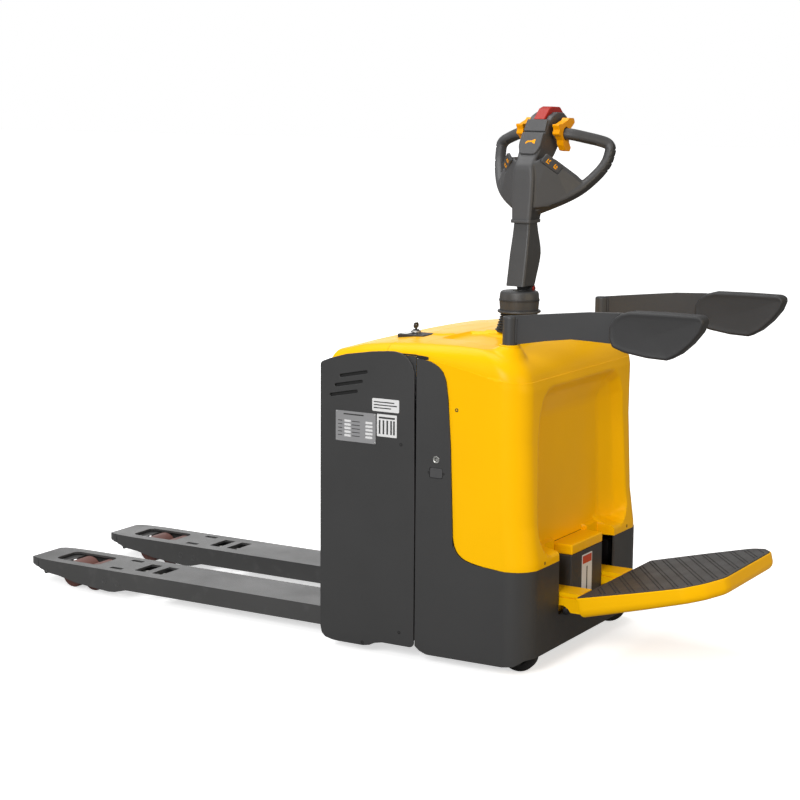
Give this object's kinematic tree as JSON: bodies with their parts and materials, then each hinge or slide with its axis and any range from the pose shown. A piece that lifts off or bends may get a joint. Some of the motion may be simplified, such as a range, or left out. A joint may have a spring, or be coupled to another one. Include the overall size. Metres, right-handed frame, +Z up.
{
  "type": "electric pallet truck",
  "caption": "Ride-on electric pallet truck: low tapered forks, boxy power unit with rounded hood, swept control head on a steering tiller, swing-out guard arms and fold-up operator platform.",
  "frame": {"origin": "centre of the overall plan rectangle, on the floor", "axes": "+X from the fork tips towards the operator platform, +Z up, +Y the operator's right when facing the forks"},
  "size_m": [2.272, 0.736, 1.488],
  "materials": {
    "body_yellow": "gloss enamel",
    "frame_grey": "satin powder coat",
    "fork_grey": "satin powder coat, lightly worn",
    "black_plastic": "matt",
    "rubber_black": "matt",
    "wheel_polyurethane": "satin",
    "bright_steel": "ground",
    "cast_iron": "painted casting",
    "head_plastic": "fine texture",
    "throttle_yellow": "satin",
    "switch_red": "satin",
    "pad_foam": "skinned foam"
  },
  "bodies": {
    "chassis": {"base_frame": "frame_grey", "skirt_left": "frame_grey", "skirt_right": "frame_grey", "skirt_rear": "frame_grey", "housing_cap": "body_yellow", "hood": "body_yellow", "top_strip": "body_yellow", "instrument_panel": "black_plastic", "battery": "black_plastic", "lift_cylinder_left": "black_plastic", "lift_cylinder_right": "black_plastic", "pump_unit": "cast_iron", "boot": "rubber_black", "platform_bracket_left": "body_yellow", "platform_bracket_right": "body_yellow"},
    "fork_frame": {"fork_left": "fork_grey", "fork_right": "fork_grey", "fork_carriage": "frame_grey", "side_panel_left": "frame_grey", "side_panel_right": "frame_grey", "lift_rod_left": "bright_steel", "lift_rod_right": "bright_steel"},
    "rocker": {"rocker_shaft": "bright_steel"},
    "lid": {"battery_lid": "body_yellow"},
    "ignition_key": {"key": "bright_steel"},
    "charge_flap": {"charge_cover": "black_plastic"},
    "steering": {"drive_unit": "cast_iron", "traction_motor": "black_plastic", "steering_column": "black_plastic"},
    "wheel_drive": {"drive_wheel": "wheel_polyurethane"},
    "tiller": {"tiller_arm": "black_plastic", "tiller_head": "head_plastic"},
    "throttle_l": {"throttle_left": "throttle_yellow"},
    "throttle_r": {"throttle_right": "throttle_yellow"},
    "belly": {"belly_switch": "switch_red"},
    "horn": {"horn_button": "head_plastic"},
    "pad_l": {"lift_pad_left": "head_plastic"},
    "pad_r": {"lift_pad_right": "head_plastic"},
    "guard_l": {"guard_arm_left": "frame_grey", "guard_pad_left": "pad_foam"},
    "guard_r": {"guard_arm_right": "frame_grey", "guard_pad_right": "pad_foam"},
    "platform": {"platform_plate": "body_yellow", "platform_mat": "rubber_black"},
    "push_l": {"push_rod_left": "bright_steel"},
    "arm_l": {"load_arm_left": "cast_iron"},
    "bogie_l": {"bogie_left": "cast_iron"},
    "entry_l": {"entry_roller_left": "rubber_black"},
    "roller_l1": {"load_roller_left_1": "wheel_polyurethane"},
    "roller_l2": {"load_roller_left_2": "wheel_polyurethane"},
    "castor_l": {"castor_fork_left": "bright_steel"},
    "castor_wheel_l": {"castor_wheel_left": "wheel_polyurethane"},
    "push_r": {"push_rod_right": "bright_steel"},
    "arm_r": {"load_arm_right": "cast_iron"},
    "bogie_r": {"bogie_right": "cast_iron"},
    "entry_r": {"entry_roller_right": "rubber_black"},
    "roller_r1": {"load_roller_right_1": "wheel_polyurethane"},
    "roller_r2": {"load_roller_right_2": "wheel_polyurethane"},
    "castor_r": {"castor_fork_right": "bright_steel"},
    "castor_wheel_r": {"castor_wheel_right": "wheel_polyurethane"}
  },
  "joints": [
    {"name": "lift", "type": "slide", "parent": "chassis", "child": "fork_frame", "axis": [0, 0, 1], "range_m": [0, 0.12]},
    {"name": "rocker_turn", "type": "hinge", "parent": "fork_frame", "child": "rocker", "pos_m": [0.08402, 0, 0.046], "axis": [0, -1, 0], "range_deg": [0, 47.4]},
    {"name": "push_rod_l", "type": "slide", "parent": "fork_frame", "child": "push_l", "axis": [-1, 0, 0], "range_m": [0, 0.0178]},
    {"name": "load_arm_l", "type": "hinge", "parent": "fork_frame", "child": "arm_l", "pos_m": [-0.77598, -0.192, 0.046], "axis": [0, -1, 0], "range_deg": [0, 47.4]},
    {"name": "bogie_level_l", "type": "hinge", "parent": "arm_l", "child": "bogie_l", "pos_m": [-0.94198, -0.192, 0.04], "axis": [0, -1, 0], "range_deg": [-47.4, 0]},
    {"name": "load_roller_l1", "type": "hinge", "parent": "bogie_l", "child": "roller_l1", "pos_m": [-0.98298, -0.192, 0.04], "axis": [0, 1, 0], "continuous": true},
    {"name": "load_roller_l2", "type": "hinge", "parent": "bogie_l", "child": "roller_l2", "pos_m": [-0.90098, -0.192, 0.04], "axis": [0, 1, 0], "continuous": true},
    {"name": "entry_roller_l", "type": "hinge", "parent": "fork_frame", "child": "entry_l", "pos_m": [-1.05698, -0.192, 0.047], "axis": [0, 1, 0], "continuous": true},
    {"name": "castor_swivel_l", "type": "hinge", "parent": "chassis", "child": "castor_l", "pos_m": [0.57002, -0.284, 0.115], "axis": [0, 0, 1], "continuous": true},
    {"name": "castor_roll_l", "type": "hinge", "parent": "castor_l", "child": "castor_wheel_l", "pos_m": [0.59379, -0.28066, 0.05], "axis": [-0.1392, 0.9903, 0], "continuous": true},
    {"name": "push_rod_r", "type": "slide", "parent": "fork_frame", "child": "push_r", "axis": [-1, 0, 0], "range_m": [0, 0.0178]},
    {"name": "load_arm_r", "type": "hinge", "parent": "fork_frame", "child": "arm_r", "pos_m": [-0.77598, 0.192, 0.046], "axis": [0, -1, 0], "range_deg": [0, 47.4]},
    {"name": "bogie_level_r", "type": "hinge", "parent": "arm_r", "child": "bogie_r", "pos_m": [-0.94198, 0.192, 0.04], "axis": [0, -1, 0], "range_deg": [-47.4, 0]},
    {"name": "load_roller_r1", "type": "hinge", "parent": "bogie_r", "child": "roller_r1", "pos_m": [-0.98298, 0.192, 0.04], "axis": [0, 1, 0], "continuous": true},
    {"name": "load_roller_r2", "type": "hinge", "parent": "bogie_r", "child": "roller_r2", "pos_m": [-0.90098, 0.192, 0.04], "axis": [0, 1, 0], "continuous": true},
    {"name": "entry_roller_r", "type": "hinge", "parent": "fork_frame", "child": "entry_r", "pos_m": [-1.05698, 0.192, 0.047], "axis": [0, 1, 0], "continuous": true},
    {"name": "castor_swivel_r", "type": "hinge", "parent": "chassis", "child": "castor_r", "pos_m": [0.57002, 0.284, 0.115], "axis": [0, 0, 1], "continuous": true},
    {"name": "castor_roll_r", "type": "hinge", "parent": "castor_r", "child": "castor_wheel_r", "pos_m": [0.58699, 0.30097, 0.05], "axis": [-0.7071, 0.7071, 0], "continuous": true},
    {"name": "lid_hinge", "type": "hinge", "parent": "chassis", "child": "lid", "pos_m": [0.21902, 0, 0.876], "axis": [0, 1, 0], "range_deg": [0, 80]},
    {"name": "key_turn", "type": "hinge", "parent": "chassis", "child": "ignition_key", "pos_m": [0.20002, -0.17, 0.88], "axis": [0, 0, -1], "range_deg": [0, 90]},
    {"name": "flap_hinge", "type": "hinge", "parent": "chassis", "child": "charge_flap", "pos_m": [0.38002, -0.3679, 0.5418], "axis": [-1, 0, 0], "range_deg": [0, 90], "stiffness_Nm_per_rad": 0.02, "springref_deg": -28.65},
    {"name": "steer", "type": "hinge", "parent": "chassis", "child": "steering", "pos_m": [0.43002, 0, 0.242], "axis": [0, 0, 1], "range_deg": [-180, 0]},
    {"name": "drive_roll", "type": "hinge", "parent": "steering", "child": "wheel_drive", "pos_m": [0.43002, 0, 0.115], "axis": [1, 0, 0], "continuous": true},
    {"name": "tiller_tilt", "type": "hinge", "parent": "steering", "child": "tiller", "pos_m": [0.43002, 0.04, 0.99], "axis": [-1, 0, 0], "range_deg": [0, 56], "stiffness_Nm_per_rad": 16, "springref_deg": -14.32},
    {"name": "throttle_turn_l", "type": "hinge", "parent": "tiller", "child": "throttle_l", "pos_m": [0.37402, 0.138, 1.414], "axis": [1, 0, 0], "range_deg": [-30, 30], "stiffness_Nm_per_rad": 1.2},
    {"name": "throttle_turn_r", "type": "hinge", "parent": "tiller", "child": "throttle_r", "pos_m": [0.48602, 0.138, 1.414], "axis": [1, 0, 0], "range_deg": [-30, 30], "stiffness_Nm_per_rad": 1.2},
    {"name": "belly_press", "type": "slide", "parent": "tiller", "child": "belly", "axis": [0, -0.3457, -0.9383], "range_m": [0, 0.004], "stiffness_N_per_m": 2500, "springref_m": -0.003},
    {"name": "horn_press", "type": "slide", "parent": "tiller", "child": "horn", "axis": [0, 0.8533, -0.5215], "range_m": [0, 0.002], "stiffness_N_per_m": 1500, "springref_m": -0.001},
    {"name": "lift_pad_l", "type": "hinge", "parent": "tiller", "child": "pad_l", "pos_m": [0.36077, 0.0545, 1.3305], "axis": [-0.5189, 0.2691, 0.8114], "range_deg": [-3, 3], "stiffness_Nm_per_rad": 2.5},
    {"name": "lift_pad_r", "type": "hinge", "parent": "tiller", "child": "pad_r", "pos_m": [0.49927, 0.0545, 1.3305], "axis": [0.5189, 0.2691, 0.8114], "range_deg": [-3, 3], "stiffness_Nm_per_rad": 2.5},
    {"name": "guard_swing_l", "type": "hinge", "parent": "chassis", "child": "guard_l", "pos_m": [0.55002, -0.283, 0.9], "axis": [0, 0, 1], "range_deg": [-180, 0]},
    {"name": "guard_swing_r", "type": "hinge", "parent": "chassis", "child": "guard_r", "pos_m": [0.55002, 0.283, 0.9], "axis": [0, 0, -1], "range_deg": [-180, 0]},
    {"name": "platform_fold", "type": "hinge", "parent": "chassis", "child": "platform", "pos_m": [0.74702, 0, 0.188], "axis": [0, -1, 0], "range_deg": [-13.5, 70], "stiffness_Nm_per_rad": 180, "springref_deg": 9.74}
  ],
  "couplings": [
    {"joint": "rocker_turn", "follows": "lift", "rad_per_m": 6.8795},
    {"joint": "push_rod_l", "follows": "lift", "ratio": 0.14709},
    {"joint": "load_arm_l", "follows": "lift", "rad_per_m": 6.8795},
    {"joint": "bogie_level_l", "follows": "lift", "rad_per_m": -6.8795},
    {"joint": "push_rod_r", "follows": "lift", "ratio": 0.14709},
    {"joint": "load_arm_r", "follows": "lift", "rad_per_m": 6.8795},
    {"joint": "bogie_level_r", "follows": "lift", "rad_per_m": -6.8795},
    {"joint": "throttle_turn_r", "follows": "throttle_turn_l", "ratio": 1}
  ]
}
